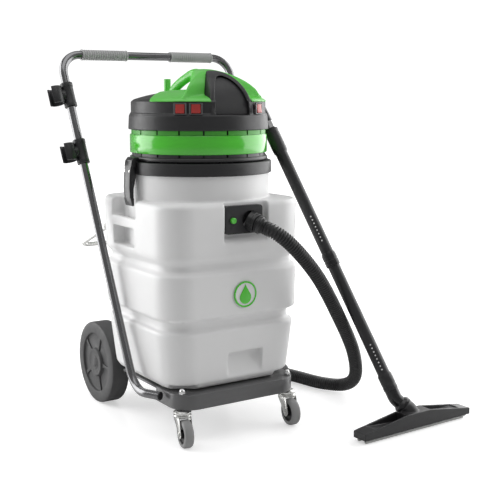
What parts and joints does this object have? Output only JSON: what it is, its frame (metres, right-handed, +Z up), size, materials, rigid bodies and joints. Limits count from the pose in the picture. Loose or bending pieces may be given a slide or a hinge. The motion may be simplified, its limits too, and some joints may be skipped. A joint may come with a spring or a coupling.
{
  "type": "shop vacuum",
  "caption": "Wet and dry shop vacuum on a trolley: square moulded tank, round motor head, leaning push handle, suction hose, wand and floor squeegee head.",
  "frame": {"origin": "centre of the footprint of the machine with its wand and floor head (limp hose left out), on the floor", "axes": "+Z up, -Y the front with the inlet and the casters, +X the side the wand leans on"},
  "size_m": [1.0348, 0.983, 1.123],
  "materials": {
    "tank": "satin moulded polyethylene",
    "black": "fine-grained black moulding",
    "rubber": "dull black rubber and hose plastic",
    "green": "satin-gloss green moulding",
    "red": "glossy translucent red rocker",
    "grey": "mid-grey plastic and soft tread",
    "frame": "dark grey powder coat",
    "chrome": "polished plate",
    "zinc": "bright zinc plate",
    "bristle": "pale squeegee and bristle strip"
  },
  "bodies": {
    "machine": {"tank_body": "tank", "badge": "green", "collar_ring": "black", "inlet_block": "black", "inlet_socket": "rubber", "hose_cuff_inlet": "rubber", "hose": "rubber", "hose_cuff_wand": "rubber", "wand_bend": "black", "wand_ring": "chrome", "wand_upper": "black", "wand_joint": "black", "wand_lower": "black", "nozzle_elbow": "black", "front_bumper": "frame", "base_frame": "frame", "rear_axle": "zinc", "handle_tube": "chrome", "rear_bail": "chrome", "tool_clip_upper": "black", "tool_clip_lower": "black", "caster_nut_left": "chrome", "grip_left": "grey", "caster_nut_right": "chrome", "grip_right": "grey"},
    "head": {"head_base": "grey", "diffuser_core": "black", "exhaust_band": "green", "head_shell": "black", "arch_panel": "black", "top_cover": "green", "cable_post": "green", "switch_bezel_1": "rubber", "switch_bezel_2": "rubber", "switch_bezel_3": "rubber", "cable_gland": "rubber", "motor_plate": "zinc", "motor_1": "frame", "motor_2": "frame", "motor_3": "frame", "float_cage": "rubber"},
    "float": {"float_ball": "grey"},
    "latch_left": {"latch_left": "black"},
    "latch_right": {"latch_right": "black"},
    "rocker_1": {"switch_rocker_1": "red"},
    "rocker_2": {"switch_rocker_2": "red"},
    "rocker_3": {"switch_rocker_3": "red"},
    "inlet_button": {"inlet_button": "green"},
    "swivel_left": {"caster_fork_left": "zinc"},
    "swivel_right": {"caster_fork_right": "zinc"},
    "caster_left": {"caster_wheel_left": "grey"},
    "caster_right": {"caster_wheel_right": "grey"},
    "wheel_left": {"rear_wheel_left": "rubber"},
    "wheel_right": {"rear_wheel_right": "rubber"},
    "floor_head": {"nozzle_body": "black", "squeegee_front": "bristle", "squeegee_rear": "bristle"}
  },
  "joints": [
    {"name": "head_lift", "type": "slide", "parent": "machine", "child": "head", "axis": [0, 0, 1], "range_m": [0, 0.25]},
    {"name": "float_rise", "type": "slide", "parent": "head", "child": "float", "axis": [0, 0, 1], "range_m": [0, 0.08]},
    {"name": "latch_left", "type": "hinge", "parent": "machine", "child": "latch_left", "pos_m": [-0.37946, 0.03599, 0.801], "axis": [0, 1, 0], "range_deg": [0, 75]},
    {"name": "latch_right", "type": "hinge", "parent": "machine", "child": "latch_right", "pos_m": [0.05454, 0.03599, 0.801], "axis": [0, 1, 0], "range_deg": [-75, 0]},
    {"name": "rocker_1", "type": "hinge", "parent": "head", "child": "rocker_1", "pos_m": [-0.30475, -0.1088, 0.9455], "axis": [0.7133, -0.7009, 0], "range_deg": [0, 10]},
    {"name": "rocker_2", "type": "hinge", "parent": "head", "child": "rocker_2", "pos_m": [-0.27004, -0.13616, 0.9455], "axis": [0.848, -0.5299, 0], "range_deg": [0, 10]},
    {"name": "rocker_3", "type": "hinge", "parent": "head", "child": "rocker_3", "pos_m": [-0.06716, -0.14325, 0.9455], "axis": [0.8829, 0.4695, 0], "range_deg": [0, 10]},
    {"name": "inlet_button", "type": "slide", "parent": "machine", "child": "inlet_button", "axis": [0, 1, 0], "range_m": [0, 0.004], "stiffness_N_per_m": 300},
    {"name": "swivel_left", "type": "hinge", "parent": "machine", "child": "swivel_left", "pos_m": [-0.34346, -0.17201, 0.1], "axis": [0, 0, 1], "continuous": true},
    {"name": "caster_left", "type": "hinge", "parent": "swivel_left", "child": "caster_left", "pos_m": [-0.3478, -0.19663, 0.04], "axis": [0.9848, -0.1736, 0], "continuous": true},
    {"name": "swivel_right", "type": "hinge", "parent": "machine", "child": "swivel_right", "pos_m": [0.01854, -0.17201, 0.1], "axis": [0, 0, 1], "continuous": true},
    {"name": "caster_right", "type": "hinge", "parent": "swivel_right", "child": "caster_right", "pos_m": [0.01592, -0.19687, 0.04], "axis": [0.9945, -0.1045, 0], "continuous": true},
    {"name": "wheel_left", "type": "hinge", "parent": "machine", "child": "wheel_left", "pos_m": [-0.36246, 0.33399, 0.131], "axis": [1, 0, 0], "continuous": true},
    {"name": "wheel_right", "type": "hinge", "parent": "machine", "child": "wheel_right", "pos_m": [0.03754, 0.33399, 0.131], "axis": [1, 0, 0], "continuous": true},
    {"name": "floor_head_roll", "type": "hinge", "parent": "machine", "child": "floor_head", "pos_m": [0.27553, -0.4088, 0.07064], "axis": [0.5989, -0.4839, -0.6381], "range_deg": [-25, 25]}
  ]
}
